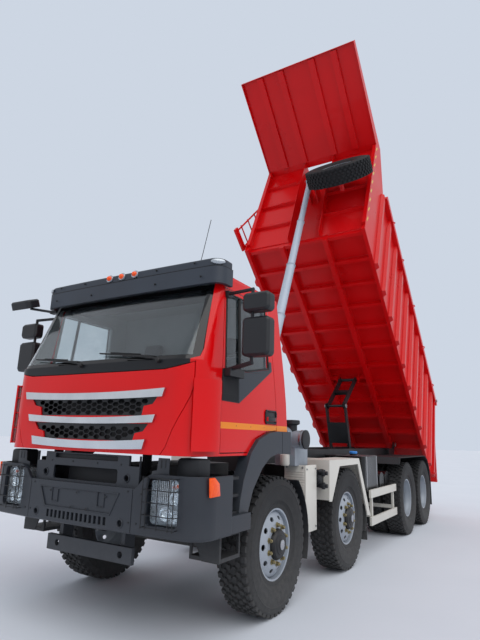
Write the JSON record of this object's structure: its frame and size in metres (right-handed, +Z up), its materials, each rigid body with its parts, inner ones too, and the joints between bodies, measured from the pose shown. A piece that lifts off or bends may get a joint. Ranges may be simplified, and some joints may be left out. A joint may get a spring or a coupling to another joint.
{
  "type": "four axle dump truck",
  "caption": "Cab-over four-axle dump truck with its long steel bed raised on a telescopic front hoist, hanging tailgate, tilting cab and steered front axles.",
  "frame": {"origin": "on the ground, midway between the lowest and highest X and Y of the truck as stored", "axes": "+Z up, the truck faces -Y, +X is its left side"},
  "size_m": [3.17, 9.8358, 8.5758],
  "materials": {
    "red_paint": "gloss paint",
    "black_paint": "satin paint",
    "dark_steel": "textured paint",
    "white_paint": "satin paint",
    "wheel_paint": "satin silver",
    "hoist_paint": "gloss",
    "cast_steel": "painted casting",
    "tyre": "matt",
    "chrome": "polished",
    "black_plastic": "grained",
    "grey_plastic": "satin",
    "lens": "clear",
    "glass": "clear",
    "seat_fabric": "woven"
  },
  "bodies": {
    "chassis": {"frame": "black_paint", "axles": "cast_steel", "engine": "cast_steel", "front_bumper": "dark_steel", "headlamps": "lens", "tanks": "black_paint", "air_cleaner": "grey_plastic", "mudguards": "black_plastic", "side_fairings": "white_paint"},
    "knuckle_1_left": {"knuckle_1_left": "cast_steel"},
    "wheel_1_left": {"tyre_1_left": "tyre", "rim_1_left": "wheel_paint"},
    "knuckle_1_right": {"knuckle_1_right": "cast_steel"},
    "wheel_1_right": {"tyre_1_right": "tyre", "rim_1_right": "wheel_paint"},
    "knuckle_2_left": {"knuckle_2_left": "cast_steel"},
    "wheel_2_left": {"tyre_2_left": "tyre", "rim_2_left": "wheel_paint"},
    "knuckle_2_right": {"knuckle_2_right": "cast_steel"},
    "wheel_2_right": {"tyre_2_right": "tyre", "rim_2_right": "wheel_paint"},
    "wheels_3_left": {"twin_tyres_3_left": "tyre", "twin_rims_3_left": "wheel_paint"},
    "wheels_3_right": {"twin_tyres_3_right": "tyre", "twin_rims_3_right": "wheel_paint"},
    "wheels_4_left": {"twin_tyres_4_left": "tyre", "twin_rims_4_left": "wheel_paint"},
    "wheels_4_right": {"twin_tyres_4_right": "tyre", "twin_rims_4_right": "wheel_paint"},
    "bed": {"bed_side_left": "red_paint", "bed_side_right": "red_paint", "bed_floor": "red_paint", "bed_front_wall": "red_paint", "bed_canopy": "red_paint", "spare_tyre": "tyre", "spare_rim": "wheel_paint", "ladder": "red_paint"},
    "tailgate": {"tailgate": "red_paint"},
    "hoist_barrel": {"hoist_barrel": "hoist_paint"},
    "hoist_stage_1": {"hoist_stage_1": "hoist_paint"},
    "hoist_stage_2": {"hoist_stage_2": "hoist_paint"},
    "hoist_stage_3": {"hoist_stage_3": "hoist_paint"},
    "hoist_stage_4": {"hoist_stage_4": "hoist_paint"},
    "lower_brace": {"lower_brace": "black_paint"},
    "upper_brace": {"upper_brace": "black_paint"},
    "cab": {"cab_shell": "red_paint", "windscreen": "glass", "cab_arches": "black_plastic", "cab_interior": "seat_fabric", "sun_visor": "black_plastic", "kerb_mirror": "black_plastic"},
    "door_left": {"door_left": "red_paint", "door_glass_left": "glass", "mirror_left": "black_plastic"},
    "door_right": {"door_right": "red_paint", "door_glass_right": "glass", "mirror_right": "black_plastic"},
    "front_hatch": {"front_panel": "red_paint", "chrome_bars": "chrome", "grille": "black_plastic"}
  },
  "joints": [
    {"name": "steer_1_left", "type": "hinge", "parent": "chassis", "child": "knuckle_1_left", "pos_m": [0.828, -3.486, 0.607], "axis": [0, 0, 1], "range_deg": [-35, 35]},
    {"name": "spin_1_left", "type": "hinge", "parent": "knuckle_1_left", "child": "wheel_1_left", "pos_m": [1.021, -3.486, 0.607], "axis": [1, 0, 0], "continuous": true},
    {"name": "steer_1_right", "type": "hinge", "parent": "chassis", "child": "knuckle_1_right", "pos_m": [-0.828, -3.486, 0.607], "axis": [0, 0, 1], "range_deg": [-35, 35]},
    {"name": "spin_1_right", "type": "hinge", "parent": "knuckle_1_right", "child": "wheel_1_right", "pos_m": [-1.021, -3.486, 0.607], "axis": [1, 0, 0], "continuous": true},
    {"name": "steer_2_left", "type": "hinge", "parent": "chassis", "child": "knuckle_2_left", "pos_m": [0.828, -1.476, 0.607], "axis": [0, 0, 1], "range_deg": [-22.8, 22.8]},
    {"name": "spin_2_left", "type": "hinge", "parent": "knuckle_2_left", "child": "wheel_2_left", "pos_m": [1.021, -1.476, 0.607], "axis": [1, 0, 0], "continuous": true},
    {"name": "steer_2_right", "type": "hinge", "parent": "chassis", "child": "knuckle_2_right", "pos_m": [-0.828, -1.476, 0.607], "axis": [0, 0, 1], "range_deg": [-22.8, 22.8]},
    {"name": "spin_2_right", "type": "hinge", "parent": "knuckle_2_right", "child": "wheel_2_right", "pos_m": [-1.021, -1.476, 0.607], "axis": [1, 0, 0], "continuous": true},
    {"name": "spin_3_left", "type": "hinge", "parent": "chassis", "child": "wheels_3_left", "pos_m": [0.917, 1.534, 0.607], "axis": [1, 0, 0], "continuous": true},
    {"name": "spin_3_right", "type": "hinge", "parent": "chassis", "child": "wheels_3_right", "pos_m": [-0.917, 1.534, 0.607], "axis": [1, 0, 0], "continuous": true},
    {"name": "spin_4_left", "type": "hinge", "parent": "chassis", "child": "wheels_4_left", "pos_m": [0.917, 2.914, 0.607], "axis": [1, 0, 0], "continuous": true},
    {"name": "spin_4_right", "type": "hinge", "parent": "chassis", "child": "wheels_4_right", "pos_m": [-0.917, 2.914, 0.607], "axis": [1, 0, 0], "continuous": true},
    {"name": "bed_tip", "type": "hinge", "parent": "chassis", "child": "bed", "pos_m": [0, 3.55, 1.505], "axis": [-1, 0, 0], "range_deg": [-42.8, 0]},
    {"name": "tailgate_swing", "type": "hinge", "parent": "bed", "child": "tailgate", "pos_m": [0, 4.83157, 2.5534], "axis": [1, 0, 0], "range_deg": [-18.8, 60]},
    {"name": "hoist_lean", "type": "hinge", "parent": "chassis", "child": "hoist_barrel", "pos_m": [0, -2.136, 1.15], "axis": [-1, 0, 0], "range_deg": [-29.54, 0]},
    {"name": "hoist_reach_1", "type": "slide", "parent": "hoist_barrel", "child": "hoist_stage_1", "axis": [0, 0.3888, 0.9213], "range_m": [-1.0256, 0]},
    {"name": "hoist_reach_2", "type": "slide", "parent": "hoist_stage_1", "child": "hoist_stage_2", "axis": [0, 0.3888, 0.9213], "range_m": [-1.0256, 0]},
    {"name": "hoist_reach_3", "type": "slide", "parent": "hoist_stage_2", "child": "hoist_stage_3", "axis": [0, 0.3888, 0.9213], "range_m": [-1.0256, 0]},
    {"name": "hoist_reach_4", "type": "slide", "parent": "hoist_stage_3", "child": "hoist_stage_4", "axis": [0, 0.3888, 0.9213], "range_m": [-1.0256, 0]},
    {"name": "brace_lower", "type": "hinge", "parent": "chassis", "child": "lower_brace", "pos_m": [0, 1.544, 1.33], "axis": [-1, 0, 0], "range_deg": [-75.15, 0]},
    {"name": "brace_upper", "type": "hinge", "parent": "lower_brace", "child": "upper_brace", "pos_m": [0, 1.302, 2.207], "axis": [-1, 0, 0], "range_deg": [0, 106.45]},
    {"name": "cab_tilt", "type": "hinge", "parent": "chassis", "child": "cab", "pos_m": [0, -4.786, 1.225], "axis": [1, 0, 0], "range_deg": [0, 55]},
    {"name": "door_left_swing", "type": "hinge", "parent": "cab", "child": "door_left", "pos_m": [1.14, -4.491, 1.44], "axis": [0, 0, -1], "range_deg": [0, 70]},
    {"name": "door_right_swing", "type": "hinge", "parent": "cab", "child": "door_right", "pos_m": [-1.14, -4.491, 1.44], "axis": [0, 0, 1], "range_deg": [0, 70]},
    {"name": "hatch_lift", "type": "hinge", "parent": "cab", "child": "front_hatch", "pos_m": [0, -4.871, 2.125], "axis": [-1, 0, 0], "range_deg": [0, 70]}
  ],
  "couplings": [
    {"joint": "steer_1_right", "follows": "steer_1_left", "ratio": 1},
    {"joint": "steer_2_left", "follows": "steer_1_left", "ratio": 0.65},
    {"joint": "steer_2_right", "follows": "steer_1_left", "ratio": 0.65},
    {"joint": "hoist_lean", "follows": "bed_tip", "ratio": 0.68897},
    {"joint": "hoist_reach_1", "follows": "bed_tip", "m_per_rad": 1.3717},
    {"joint": "hoist_reach_2", "follows": "bed_tip", "m_per_rad": 1.3717},
    {"joint": "hoist_reach_3", "follows": "bed_tip", "m_per_rad": 1.3717},
    {"joint": "hoist_reach_4", "follows": "bed_tip", "m_per_rad": 1.3717},
    {"joint": "brace_lower", "follows": "bed_tip", "ratio": 1.7547},
    {"joint": "brace_upper", "follows": "bed_tip", "ratio": -2.4859}
  ]
}
